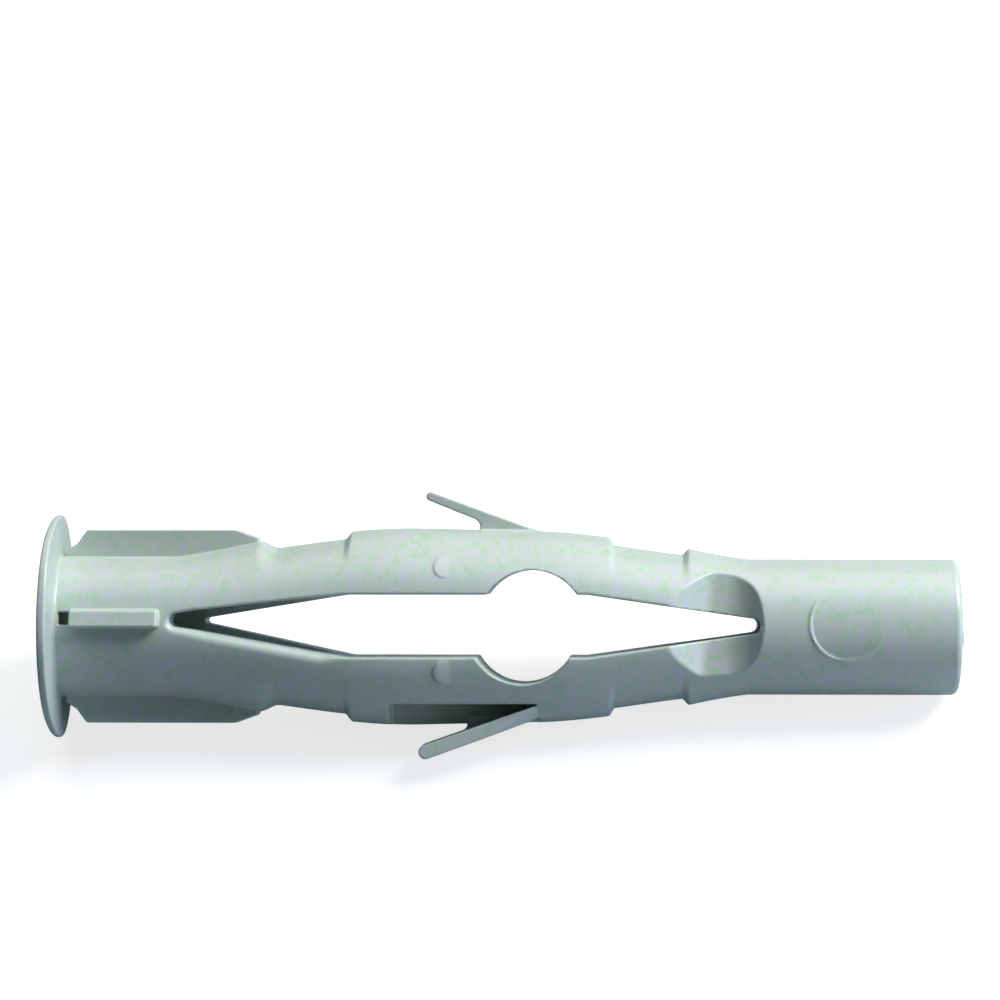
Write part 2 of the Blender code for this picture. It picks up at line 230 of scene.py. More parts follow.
@dataclass(frozen=True)
class Collar:
    """The thin round collar that stops on the wall. It is a little thicker in front."""

    radius: float = 6.17
    rim_thickness: float = 0.31
    rim_slant: float = 0.027
    under_slope: float = 0.05
    bend: float = 0.13
    bend_power: float = 6.0
    edge: float = 0.12
    fillet: float = 0.2

    def solid(self, at: Places) -> np.ndarray:
        """What lies inside the rim, behind the face and above the underside.

        The underside slopes up to the sleeve and slants from front to back. At the two places
        furthest out along v the collar bends towards the nose, by a power of the distance.

        Args:
            at: Places in the plug's own frame.

        Returns:
            Distances from the collar.
        """
        out = np.hypot(at.v, at.w)
        share = np.minimum(np.abs(at.v) / self.radius, 1.0)
        along = at.u - self.bend * share ** self.bend_power
        under = along - self.rim_thickness - self.rim_slant * at.w
        under = under - (self.radius - out) * self.under_slope
        disc = common(out - self.radius, -along, self.edge)
        return common(disc, under, self.edge)


@dataclass(frozen=True)
class Sleeve:
    """The round skin with its two bowed legs, shoulders, raised band and locking ridge."""

    lengths: Lengths
    bow_near: float = 1.24
    bow_far: float = 1.12
    rise_length: float = 13.6
    rise_lead: float = 0.4
    fall_length: float = 12.2
    fall_short: float = 0.65
    shoulder_height: float = 0.5
    shoulder_run: float = 4.5
    shoulder_drop: float = 1.2
    band_height: float = 0.39
    band_length: float = 14.15
    band_lead: float = 0.05
    band_ramp: float = 0.45
    band_end_ramp: float = 0.33
    ridge_height: float = 0.38
    ridge_setback: float = 4.3
    ridge_ramp: float = 0.45
    ridge_run: float = 3.2
    relief_full: float = 1.0
    relief_gone: float = 3.3
    nose_edge: float = 0.35
    start: float = 0.12

    def bow(self, u: np.ndarray) -> np.ndarray:
        """How far a leg's round section is moved outwards: a crest that eases in and out.

        Args:
            u: Places along the plug.

        Returns:
            The moves, in millimetres.
        """
        rise_start = self.lengths.slot_start - self.rise_lead
        rise_end = rise_start + self.rise_length
        fall_end = self.lengths.slot_end - self.fall_short
        fall_start = fall_end - self.fall_length
        crest = self.bow_near + (self.bow_far - self.bow_near) * ramp(u, rise_end, fall_start)
        rise = ease((u - rise_start) / self.rise_length)
        return crest * rise * ease((fall_end - u) / self.fall_length)

    def relief(self, u: np.ndarray) -> np.ndarray:
        """The shoulder, the band and the ridge, each a step up and a step down.

        Args:
            u: Places along the plug.

        Returns:
            How far each stands over the plain skin.
        """
        start = self.lengths.slot_start
        top = start + self.shoulder_run
        shoulder = ramp(u, start, top) - soft_ramp(u, top, top + self.shoulder_drop)
        band_start = self.lengths.parallel_start + self.band_lead
        band_end = band_start + self.band_length
        band = soft_ramp(u, band_start - self.band_ramp, band_start)
        band -= soft_ramp(u, band_end, band_end + self.band_end_ramp)
        crest = self.lengths.slot_end - self.ridge_setback + self.ridge_ramp
        ridge = soft_ramp(u, crest - self.ridge_ramp, crest)
        ridge -= ramp(u, crest, crest + self.ridge_run)
        return (self.shoulder_height * shoulder + self.band_height * band
                + self.ridge_height * ridge)

    def half_height(self, u: np.ndarray) -> np.ndarray:
        """How far the outside of a leg stands from the axis."""
        return self.lengths.radius(u) + self.bow(u) + self.relief(u)

    def solid(self, at: Places) -> np.ndarray:
        """A round section parted along v by the bow and relief, and cut square at the nose.

        The relief stands on the outside of each leg and fades towards the front and the back.

        Args:
            at: Places in the plug's own frame.

        Returns:
            Distances from the sleeve.
        """
        keel = 1.0 - soft_ramp(np.abs(at.w), self.relief_full, self.relief_gone)
        apart = self.bow(at.u) + self.relief(at.u) * keel
        parted = np.maximum(np.abs(at.v) - apart, 0.0)
        skin = np.hypot(parted, at.w) - self.lengths.radius(at.u)
        skin = common(skin, at.u - self.lengths.overall, self.nose_edge)
        return np.maximum(skin, self.start - at.u)


@dataclass(frozen=True)
class Fins:
    """The two wide fins in the plane of the legs, with slanted ends."""

    lengths: Lengths
    rounding: float = 1.0
    radius: float = 5.35
    thickness: float = 1.0
    start: float = 0.7
    start_height: float = 4.22
    lead: float = 0.6
    lead_height: float = 4.6
    rise: float = 0.55
    flat_end: float = 10.15
    runout: float = 1.25
    runout_drop: float = 0.45
    foot_depth: float = 0.5
    edge: float = 0.07

    def solid(self, at: Places) -> np.ndarray:
        """A plate as thick as the fin, inside the straight lines of its outline.

        Args:
            at: Places in the plug's own frame.

        Returns:
            Distances from the fins.
        """
        edge = self.edge * self.rounding
        up = np.abs(at.v)
        lead_end = (self.start + self.lead, self.lead_height)
        flat_start = (lead_end[0] + self.rise, self.radius)
        end = (self.flat_end + self.runout, self.radius - self.runout_drop)
        foot = self.lengths.neck_radius - self.foot_depth
        outline = np.minimum(beyond_line(at.u, up, (self.start, self.start_height), lead_end),
                             beyond_line(at.u, up, lead_end, flat_start))
        outline = common(outline, self.start - at.u, edge)
        outline = common(outline, up - self.radius, edge)
        runout = beyond_line(at.u, up, (self.flat_end, self.radius), end)
        outline = common(outline, runout, edge)
        last = beyond_line(at.u, up, end, (end[0] + self.foot_depth, foot))
        outline = np.maximum(np.maximum(outline, last), foot - up)
        return common(outline, np.abs(at.w) - self.thickness / 2, edge)


def beyond_line(x: np.ndarray, y: np.ndarray, start: tuple[float, float],
                end: tuple[float, float]) -> np.ndarray:
    """How far places lie on the left of a line, which is the outside of what it bounds.

    Args:
        x: Places along the first axis.
        y: Places along the second.
        start: A point of the line.
        end: A later point of the line.

    Returns:
        Distances from the line, below nought on its right.
    """
    run, rise = end[0] - start[0], end[1] - start[1]
    length = math.hypot(run, rise)
    return ((y - start[1]) * run - (x - start[0]) * rise) / length


@dataclass(frozen=True)
class Ribs:
    """The two short ribs between the fins, and the hollow between each and the collar."""

    lengths: Lengths
    rounding: float = 1.0
    radius: float = 4.6
    width: float = 0.97
    sidestep: float = 0.47
    start: float = 1.45
    length: float = 4.85
    foot_depth: float = 0.5
    tilt: float = 0.3
    vent_length: float = 0.65
    vent_width: float = 0.68
    vent_floor: float = 2.8
    edge: float = 0.15
    vent_edge: float = 0.05

    def solid(self, at: Places) -> np.ndarray:
        """A block with rounded edges on each side. Its top slopes down to the outer side.

        Args:
            at: Places in the plug's own frame.

        Returns:
            Distances from the ribs.
        """
        edge = self.edge * self.rounding
        along = np.abs(at.u - self.start - self.length / 2) - self.length / 2 + edge
        outwards = at.v * np.sign(at.w) - self.sidestep
        over = np.abs(at.w) - self.radius + self.tilt * (outwards + self.width / 2)
        over = over / math.hypot(1.0, self.tilt) + edge
        aside = np.abs(outwards) - self.width / 2 + edge
        out = np.sqrt(np.maximum(along, 0.0) ** 2 + np.maximum(over, 0.0) ** 2
                      + np.maximum(aside, 0.0) ** 2)
        inside = np.minimum(np.maximum(np.maximum(along, over), aside), 0.0)
        foot = self.lengths.neck_radius - self.foot_depth - np.abs(at.w)
        return np.maximum(out + inside - edge, foot)

    def vents(self, at: Places) -> np.ndarray:
        """The small square hollow at the collar's end of each rib.

        Args:
            at: Places in the plug's own frame.

        Returns:
            Distances from the hollows.
        """
        along = np.abs(at.u - self.start + self.vent_length / 2) - self.vent_length / 2
        aside = np.abs(at.v * np.sign(at.w) - self.sidestep) - self.vent_width / 2
        walls = common(along, aside, self.vent_edge * self.rounding)
        return np.maximum(walls, self.vent_floor - np.abs(at.w))


@dataclass(frozen=True)
class Slot:
    """The slot between the legs: wide from the front to the bore, and narrow behind it."""

    lengths: Lengths
    half_height: float = 1.71
    rise_near: float = 0.3
    rise_far: float = 0.07
    narrow_setback: float = 1.3
    narrow_nose: float = 0.17
    narrow_depth: float = 0.3
    mouth_nose: float = 0.33
    mouth_rise: float = 0.1
    mouth_widening: float = 0.05
    widening_run: float = 2.0
    end_nose: float = 0.4
    round_end: float = 0.42
    round_wide: float = 0.62
    round_fine: float = 0.12
    round_run: float = 2.0
    round_fade: float = 1.6
    crisp: float = 0.15

    def mouth(self, at: Places) -> np.ndarray:
        """0 behind the middle of the plug, 1 in front of it, and even in between."""
        return ramp(at.w, -self.narrow_depth, self.narrow_depth)

    def middle(self, at: Places) -> np.ndarray:
        """How far above the axis the middle of the slot lies.

        Args:
            at: Places in the plug's own frame.

        Returns:
            The heights along v.
        """
        start = self.lengths.slot_start + self.narrow_setback
        share = ramp(at.u, start, self.lengths.parallel_start)
        return (self.rise_near + (self.rise_far - self.rise_near) * share
                + self.mouth_rise * self.mouth(at) * (1.0 - share))

    def edge(self, at: Places) -> np.ndarray:
        """The radius of the slot's edge.

        Seen from the front the lower edge is the rounded one, and from the back the upper one.
        It starts at the end of the slot, widens along the first taper and fades after it.

        Args:
            at: Places in the plug's own frame.

        Returns:
            A radius for each place.
        """
        start, end = self.lengths.slot_start, self.lengths.parallel_start
        share = ramp(at.u, start, start + self.round_run)
        wide = self.round_end + (self.round_wide - self.round_end) * share
        fade = soft_ramp(at.u, end - self.round_fade, end)
        wide = wide + (self.round_fine - wide) * fade
        side = (at.v - self.middle(at)) * np.sign(at.w)
        upper = soft_ramp(side, -self.mouth_nose, self.mouth_nose)
        return wide + (self.crisp - wide) * upper

    def tool(self, at: Places) -> np.ndarray:
        """Two tapered ends and a straight middle, with a wider first taper in front.

        Args:
            at: Places in the plug's own frame.

        Returns:
            Distances from the slot.
        """
        mouth = self.mouth(at)
        nose = self.narrow_nose + (self.mouth_nose - self.narrow_nose) * mouth
        start = self.lengths.slot_start + self.narrow_setback * (1.0 - mouth) + nose
        across = at.v - self.middle(at)
        left = tapered_capsule(at.u - start, across, self.lengths.parallel_start - start,
                               nose, self.half_height)
        straight_start = self.lengths.parallel_start
        taper = 1.0 - ramp(at.u, straight_start - self.widening_run, straight_start)
        left = left - self.mouth_widening * mouth * taper
        far = self.lengths.slot_end - self.end_nose
        right = tapered_capsule(far - at.u, across, far - self.lengths.parallel_end,
                                self.end_nose, self.half_height)
        reach = self.lengths.parallel / 2
        middle = np.abs(at.u - self.lengths.parallel_start - reach) - reach
        straight = np.maximum(middle, np.abs(across) - self.half_height)
        return np.minimum(np.minimum(left, right), straight)


@dataclass(frozen=True)
class CrossHole:
    """The hole across both legs, each half round about its own centre."""

    lengths: Lengths
    radius: float = 2.95
    part: float = 0.17
    stagger: float = 0.24
    before_taper: float = 3.15

    def tool(self, at: Places) -> np.ndarray:
        """A cylinder along w whose halves are parted along v and staggered along u.

        Args:
            at: Places in the plug's own frame.

        Returns:
            Distances from the hole.
        """
        centre = self.lengths.parallel_end - self.before_taper + self.stagger * np.sign(at.v)
        parted = np.maximum(np.abs(at.v) - self.part, 0.0)
        return np.hypot(at.u - centre, parted) - self.radius


@dataclass(frozen=True)
class Scoops:
    """The hollows across the far end of the slot, front and back."""

    lengths: Lengths
    floor: float = 2.6
    floor_tilt: float = 0.065
    ramp_angle: float = math.radians(27.0)
    ramp_skew: float = 0.11
    floor_before_end: float = 2.95
    floor_length: float = 1.0
    arc_radius: float = 2.35
    blend: float = 0.15

    def tool(self, at: Places) -> np.ndarray:
        """A straight ramp down, a short level floor that tilts a little, and an arc up again.

        Args:
            at: Places in the plug's own frame.

        Returns:
            Distances from the hollows.
        """
        across = at.v * np.sign(at.w)
        start = self.lengths.slot_end - self.floor_before_end
        over = np.abs(at.w) - self.floor + self.floor_tilt * across
        behind = at.u - start - self.ramp_skew * across
        down = -over * math.cos(self.ramp_angle) - behind * math.sin(self.ramp_angle)
        along = np.maximum(at.u - start - self.floor_length, 0.0)
        deep = np.minimum(over - self.arc_radius, 0.0)
        up = np.hypot(along, deep) - self.arc_radius
        return np.maximum(eased_larger(down, -over, self.blend), up)


@dataclass(frozen=True)
class Barbs:
    """The two springy barbs, the webs at their roots and the pockets that they fold into."""

    lengths: Lengths
    sleeve: Sleeve
    rounding: float = 1.0
    root_half: float = 0.36
    front_tip_half: float = 0.39
    back_tip_half: float = 0.25
    width: float = 2.4
    reach: float = 7.0
    sidestep: float = 0.14
    angle: float = math.radians(20.0)
    front_length: float = 6.72
    back_length: float = 6.6
    flush: float = 0.04
    splay: float = 0.5
    overlap: float = 0.3
    root_past_pocket: float = 0.1
    pocket_floor: float = 4.2
    pocket_length: float = 8.25
    pocket_before_taper: float = 2.5
    front_web_reach: float = 1.12
    back_web_reach: float = 0.56
    web_run: float = 1.8
    web_front: float = 0.4
    web_fillet: float = 0.3
    fillet: float = 0.12
    edge: float = 0.08
    pocket_corner: float = 0.12

    @property
    def pocket_end(self) -> float:
        """The nose end of each pocket."""
        return self.lengths.parallel_end - self.pocket_before_taper

    def length(self, side: Side) -> float:
        """How long a barb is. The one at the back is a little shorter."""
        return self.front_length if side is Side.FRONT else self.back_length

    def tip(self, side: Side) -> float:
        """Where the tip of a barb is along the plug."""
        root = self.pocket_end + self.root_past_pocket
        return root - self.length(side) * math.cos(self.angle)

    def pocket(self, at: Places) -> np.ndarray:
        """The front half of the lower leg, outwards from the pocket's floor.

        Args:
            at: Places in the plug's own frame.

        Returns:
            Distances from the pocket.
        """
        corner = self.pocket_corner * self.rounding
        along = np.abs(at.u - self.pocket_end + self.pocket_length / 2) - self.pocket_length / 2
        walls = common(along, at.v + self.pocket_floor, corner)
        return common(walls, -at.w, corner)

    def line(self, at: Places) -> tuple[np.ndarray, np.ndarray]:
        """Places along a barb's middle line, from its root, and how far above it they lie.

        Args:
            at: Places in the plug's own frame.

        Returns:
            Both measures, for each place.
        """
        root_reach = self.reach - self.front_length * math.sin(self.angle)
        x = self.pocket_end + self.root_past_pocket - at.u
        y = -root_reach - at.v
        along = x * math.cos(self.angle) + y * math.sin(self.angle)
        return along, x * math.sin(self.angle) - y * math.cos(self.angle)

    def strip(self, at: Places, side: Side) -> np.ndarray:
        """A barb's outline, endless along w. Its outer side is straight, its inner side tapers.

        Args:
            at: Places in the plug's own frame.
            side: Which barb it is.

        Returns:
            Distances from the outline.
        """
        tip_half = self.front_tip_half if side is Side.FRONT else self.back_tip_half
        length = self.length(side)
        along, above = self.line(at)
        share = ramp(along, 0.0, length)
        half = self.root_half + (tip_half - self.root_half) * share
        centre = (self.root_half - tip_half) * share
        past = np.maximum(np.maximum(-along, along - length), 0.0)
        return np.hypot(past, above + centre) - half

    def barb(self, at: Places, side: Side) -> np.ndarray:
        """The strip as wide as a barb, flush with the leg's skin at its root and prouder after.

        Args:
            at: Places in the plug's own frame.
            side: Which barb it is.

        Returns:
            Distances from the barb.
        """
        breadth = np.abs(at.w - (self.width - self.overlap) / 2) - (self.width + self.overlap) / 2
        standing = self.splay * np.maximum(self.line(at)[0], 0.0)
        hug = (self.sleeve.solid(at) - self.flush - standing) / math.hypot(1.0, self.splay)
        edge = self.edge * self.rounding
        return common(common(self.strip(at, side), breadth, edge), hug, edge)

    def web(self, at: Places, side: Side) -> np.ndarray:
        """The small block that fills the corner between a barb and its leg, flush with both.

        Args:
            at: Places in the plug's own frame.
            side: Which barb it is.

        Returns:
            Distances from the web.
        """
        tip = self.tip(side)
        clear = self.reach - self.root_half - float(self.sleeve.half_height(tip))
        corner = tip + clear / math.tan(self.angle)
        foot = float(self.sleeve.half_height(corner)) - self.overlap
        start = corner - (self.front_web_reach if side is Side.FRONT else self.back_web_reach)
        block = np.maximum(np.maximum(start - at.u, at.u - corner - self.web_run), at.v + foot)
        block = np.maximum(block, -self.line(at)[1])
        outline = join(block, self.strip(at, side), self.web_fillet * self.rounding)
        middle = (self.web_front - self.overlap) / 2
        breadth = np.abs(at.w - middle) - (self.web_front + self.overlap) / 2
        return common(outline, breadth, self.edge * self.rounding)

    def solid(self, at: Places, side: Side) -> np.ndarray:
        """A barb with its web."""
        return np.minimum(self.barb(at, side), self.web(at, side))


@dataclass(frozen=True)
class Bore:
    """The hole along the axis: a funnelled mouth, a wide entry, a cone and a narrow run."""

    lengths: Lengths
    slot: Slot
    mouth_radius: float = 2.95
    entry_radius: float = 2.6
    radius: float = 1.6
    lead: float = 0.5
    entry_length: float = 4.0

    def tool(self, at: Places) -> np.ndarray:
        """A turned shape: its radius runs in straight lines from one place to the next.

        Args:
            at: Places in the plug's own frame.

        Returns:
            Distances from the bore.
        """
        cone_end = self.lengths.slot_start + self.slot.narrow_setback
        stations = [-self.lead, 0.0, self.lead, self.entry_length, cone_end]
        funnel = self.mouth_radius - self.entry_radius
        radii = [self.mouth_radius + funnel, self.mouth_radius, self.entry_radius,
                 self.entry_radius, self.radius]
        return np.hypot(at.v, at.w) - np.interp(at.u, stations, radii).astype(at.u.dtype)


@dataclass(frozen=True)
class GateStub:
    """The small round stub that the gate leaves on the end of the nose."""

    lengths: Lengths
    bore: Bore
    rounding: float = 1.0
    radius: float = 0.4
    height: float = 0.12
    turn: float = math.radians(-11.0)
    edge: float = 0.05

    def solid(self, at: Places) -> np.ndarray:
        """A short cylinder along u, halfway between the bore and the skin.

        Args:
            at: Places in the plug's own frame.

        Returns:
            Distances from the stub.
        """
        ring = (self.bore.radius + self.lengths.nose_radius) / 2
        aside = at.v - ring * math.sin(self.turn)
        over = at.w - ring * math.cos(self.turn)
        end = at.u - self.lengths.overall - self.height
        start = self.lengths.overall - self.radius - at.u
        round_side = np.hypot(aside, over) - self.radius
        return np.maximum(common(round_side, end, self.edge * self.rounding), start)


@dataclass(frozen=True)
class PinRing:
    """A round ejector mark that follows the curve of the skin, such as the wide one on the nose.

    It is a little lower than the skin, or higher where its depth is below nought. The ejector
    stood askew, so the step fades to nothing across the circle, towards fade_turn.
    """

    u: float = 43.7
    v: float = 0.22
    radius: float = 1.93
    depth: float = 0.02
    lip: float = 0.06
    rim: float = 0.08
    fade_turn: float = math.radians(45.0)
    seen_share: float = 0.5
    fade: float = 0.9

    def sunk(self, at: Places) -> np.ndarray:
        """How far the mark sinks the skin: a disc, less a narrow lip round it.

        Args:
            at: Places in the plug's own frame.

        Returns:
            The depths, below nought where the skin is raised.
        """
        x, y = at.u - self.u, at.v - self.v
        out = np.hypot(x, y) - self.radius
        askew = (x * math.cos(self.fade_turn) + y * math.sin(self.fade_turn)) / self.radius
        share = np.clip(self.seen_share - self.fade * askew, 0.0, 1.0)
        disc = 1.0 - soft_ramp(out, -self.rim, self.rim)
        lip = np.exp(-((out - self.rim) / self.rim) ** 2)
        return np.where(at.w > 0.0, (self.depth * disc - self.lip * lip) * share, 0.0)


@dataclass(frozen=True)
class PlugForm:
    """The whole moulding as one distance. A rounding of nought leaves the small edges sharp."""

    lengths: Lengths = field(default_factory=Lengths)
    rounding: float = 1.0
    fine_edge: float = 0.06
    rings: tuple[PinRing, ...] = (
        PinRing(), PinRing(21.82, 3.3, 0.58, depth=-0.05, lip=0.0, rim=0.07, fade_turn=0.0),
        PinRing(21.85, -2.45, 0.62, depth=-0.08, lip=0.0, rim=0.07, fade_turn=0.0))

    def distance(self, at: Places) -> np.ndarray:
        """How far outside the moulding places lie: the forms joined, then the openings cut.

        Args:
            at: Places in the plug's own frame.

        Returns:
            Distances from the moulding.
        """
        edge = self.fine_edge * self.rounding
        sleeve = Sleeve(self.lengths)
        barbs = Barbs(self.lengths, sleeve, self.rounding)
        ribs = Ribs(self.lengths, self.rounding)
        slot = Slot(self.lengths)
        bore = Bore(self.lengths, slot)
        solid = sleeve.solid(at) + sum(ring.sunk(at) for ring in self.rings)
        collar = Collar()
        solid = join(solid, collar.solid(at), collar.fillet)
        for side in Side:
            solid = cut(solid, barbs.pocket(at.turned(side)), edge)
        for side in Side:
            seen = at.turned(side, barbs.sidestep)
            solid = join(solid, barbs.solid(seen, side), barbs.fillet * self.rounding)
        solid = join(solid, Fins(self.lengths, self.rounding).solid(at), edge)
        solid = join(solid, ribs.solid(at), edge)
        solid = join(solid, GateStub(self.lengths, bore, self.rounding).solid(at), edge)
        solid = cut(solid, ribs.vents(at), edge)
        solid = cut(solid, slot.tool(at), slot.edge(at))
        solid = cut(solid, CrossHole(self.lengths).tool(at), edge)
        solid = cut(solid, Scoops(self.lengths).tool(at), edge)
        return cut(solid, bore.tool(at), edge)


@dataclass(frozen=True)
class Rest:
    """How the plug lies: rolled onto one barb, leaning from collar to nose, then set in place."""

    roll: float = 0.7526
    lean: float = 0.049769
    place: tuple[float, float, float] = (-24.9026, -0.1022, 6.1862)

    def matrix(self) -> np.ndarray:
        """The turn from the plug's own frame to the row frame."""
        turn = Matrix.Rotation(self.lean, 3, "Y") @ Matrix.Rotation(self.roll, 3, "X")
        return np.array(turn)

    def points(self, own: np.ndarray) -> np.ndarray:
        """Places of the plug's own frame, in metres in the row frame."""
        return (own @ self.matrix().T + np.array(self.place)) * MM

    def directions(self, own: np.ndarray) -> np.ndarray:
        """Directions of the plug's own frame, in the row frame."""
        return own @ self.matrix().T


@dataclass(frozen=True)
class Surface:
    """A surface: its corners, and its faces as numbers of corners, all with as many sides."""

    corners: np.ndarray
    faces: np.ndarray


@dataclass
class Skinner:
    """Draws the surface where a form's distance is nought.

    A grid of small boxes fills the space round the plug. Each line of the grid that passes
    through the skin gives a point of it and the skin's direction there. Each box that such lines
    bound gets one corner, at the place nearest to all of its points' tangent planes, so that it
    sits on an edge if the box holds one. Each line then gives two triangles, between its four
    boxes. This is done with sharp edges, and the corners then settle on the rounded form.
    """

    form: PlugForm
    step: float
    low: tuple[float, float, float] = (-0.35, -7.5, -6.5)
    high: tuple[float, float, float] = (50.35, 7.5, 6.5)
    hold: float = 0.05
    settle: int = 3
    tiny: float = 0.008
    slab: int = 8

    @property
    def sharp(self) -> PlugForm:
        """The form with its small edges left sharp."""
        return replace(self.form, rounding=0.0)

    def counts(self) -> np.ndarray:
        """How many grid points there are along u, v and w."""
        span = np.array(self.high) - np.array(self.low)
        return np.ceil(span / self.step).astype(int) + 1

    def distances(self) -> np.ndarray:
        """The sharp form's distance at every point of the grid, a few sections at a time.

        Returns:
            The distances, with one axis for each of u, v and w.
        """
        counts = self.counts()
        axes = [self.low[i] + self.step * np.arange(counts[i], dtype=np.float32)
                for i in range(3)]
        slabs = []
        for start in range(0, counts[0], self.slab):
            part = axes[0][start:start + self.slab]
            u, v, w = np.meshgrid(part, axes[1], axes[2], indexing="ij")
            at = Places(u.ravel(), v.ravel(), w.ravel())
            slabs.append(self.sharp.distance(at).reshape(u.shape))
        return np.concatenate(slabs)

    def directions(self, form: PlugForm, points: np.ndarray) -> np.ndarray:
        """Which way is out at each point: the slope of a form's distance, made one long.

        The slope is taken from the four corners of a tiny tetrahedron round each point.

        Args:
            form: The form whose slope is taken.
            points: Places, as rows of three.

        Returns:
            One direction for each point.
        """
        corners = np.array([[1, -1, -1], [-1, -1, 1], [-1, 1, -1], [1, 1, 1]], float)
        at = Places(*points.T)
        slope = np.zeros_like(points)
        for corner in corners:
            distance = form.distance(at.moved(corner * self.tiny))
            slope += distance[:, None] * corner
        return slope / np.maximum(np.linalg.norm(slope, axis=1, keepdims=True), SHORTEST)

    def settled(self, points: np.ndarray) -> np.ndarray:
        """The points moved along their directions until they lie on the rounded form.

        Args:
            points: Places near the skin, as rows of three.

        Returns:
            The moved points.
        """
        for _ in range(self.settle):
            distance = self.form.distance(Places(*points.T))
            move = np.clip(distance, -self.step, self.step)
            points = points - self.directions(self.form, points) * move[:, None]
        return points

    def crossings(self, distances: np.ndarray, axis: int) -> tuple[np.ndarray, np.ndarray,
                                                                  np.ndarray]:
        """The grid lines along one axis that pass through the skin.

        Args:
            distances: The form's distance at every grid point.
            axis: 0, 1 or 2 for lines along u, v or w.

        Returns:
            The grid point at each line's start, the crossing point and whether the line goes out.
        """
        ahead = np.roll(distances, -1, axis)
        starts = np.argwhere((distances < 0.0) != (ahead < 0.0))
        starts = starts[starts[:, axis] < distances.shape[axis] - 1]
        here = distances[tuple(starts.T)].astype(float)
        there = ahead[tuple(starts.T)].astype(float)
        points = starts.astype(float)
        points[:, axis] += here / (here - there)
        return starts, np.array(self.low) + self.step * points, here < 0.0

    def boxes_round(self, starts: np.ndarray, axis: int, outward: np.ndarray) -> np.ndarray:
        """The four boxes round each line, in the order that makes the face look outwards.

        Args:
            starts: The grid point at each line's start.
            axis: Which way the lines run.
            outward: Whether each line goes out of the moulding.

        Returns:
            The numbers of four boxes for each line.
        """
        first, second = (axis + 1) % 3, (axis + 2) % 3
        ring = []
        for back_first, back_second in ((0, 0), (1, 0), (1, 1), (0, 1)):
            box = starts.copy()
            box[:, first] -= back_first
            box[:, second] -= back_second
            ring.append(np.ravel_multi_index(box.T, self.counts()))
        boxes = np.stack(ring, axis=1)
        return np.where(outward[:, None], boxes, boxes[:, ::-1])

    def surface(self) -> Surface:
        """The whole surface, closed, with its corners settled on the skin.

        Returns:
            The surface, in triangles.
        """
        distances = self.distances()
        rings, points = [], []
        for axis in range(3):
            starts, crossing, outward = self.crossings(distances, axis)
            rings.append(self.boxes_round(starts, axis, outward))
            points.append(crossing)
        ring = np.concatenate(rings)
        point = np.concatenate(points)
        used, faces = np.unique(ring, return_inverse=True)
        faces = faces.reshape(ring.shape)
        out = self.directions(self.sharp, point)
        corners = self.best_places(point, out, faces, len(used))
        return Surface(self.settled(corners), self.parted(corners, faces))

    def parted(self, corners: np.ndarray, faces: np.ndarray) -> np.ndarray:
        """Each four-sided face as two triangles.

        Of its two diagonals it is parted along the one whose middle lies nearer to the skin, so
        that an edge is followed and never cut across.

        Args:
            corners: The corners on the sharp form.
            faces: Four corners for each face.

        Returns:
            Three corners for each triangle.
        """
        near = []
        for first, second in ((0, 2), (1, 3)):
            middle = (corners[faces[:, first]] + corners[faces[:, second]]) / 2
            near.append(np.abs(self.sharp.distance(Places(*middle.T))))
        straight = np.concatenate([faces[:, [0, 1, 2]], faces[:, [0, 2, 3]]], axis=1)
        other = np.concatenate([faces[:, [1, 2, 3]], faces[:, [1, 3, 0]]], axis=1)
        chosen = np.where((near[0] <= near[1])[:, None], straight, other)
        return chosen.reshape(-1, 3)

    def best_places(self, point: np.ndarray, out: np.ndarray, faces: np.ndarray,
                    count: int) -> np.ndarray:
        """Each box's corner: the least squares place for its tangent planes.

        A small hold to the middle of the points keeps it still where the planes leave it free,
        and it never moves further than one step from there.

        Args:
            point: The points of the skin, one for each grid line.
            out: The skin's direction at each point.
            faces: The four boxes round each grid line.
            count: How many boxes there are.

        Returns:
            One place for each box.
        """
        owner = faces.ravel()
        spread = np.repeat(np.arange(len(point)), 4)

        def total(values: np.ndarray) -> np.ndarray:
            """The sum of a value over the points of each box."""
            return np.bincount(owner, weights=values[spread], minlength=count)

        share = total(np.ones(len(point)))
        middle = np.stack([total(point[:, i]) for i in range(3)], axis=1) / share[:, None]
        offset = np.einsum("ij,ij->i", out, point)
        planes = np.empty((count, 3, 3))
        for i in range(3):
            for j in range(3):
                planes[:, i, j] = total(out[:, i] * out[:, j])
        pull = np.stack([total(out[:, i] * offset) for i in range(3)], axis=1)
        pull -= np.einsum("kij,kj->ki", planes, middle)
        planes += np.eye(3) * (self.hold * share)[:, None, None]
        move = np.linalg.solve(planes, pull[:, :, None])[:, :, 0]
        return middle + np.clip(move, -self.step, self.step)


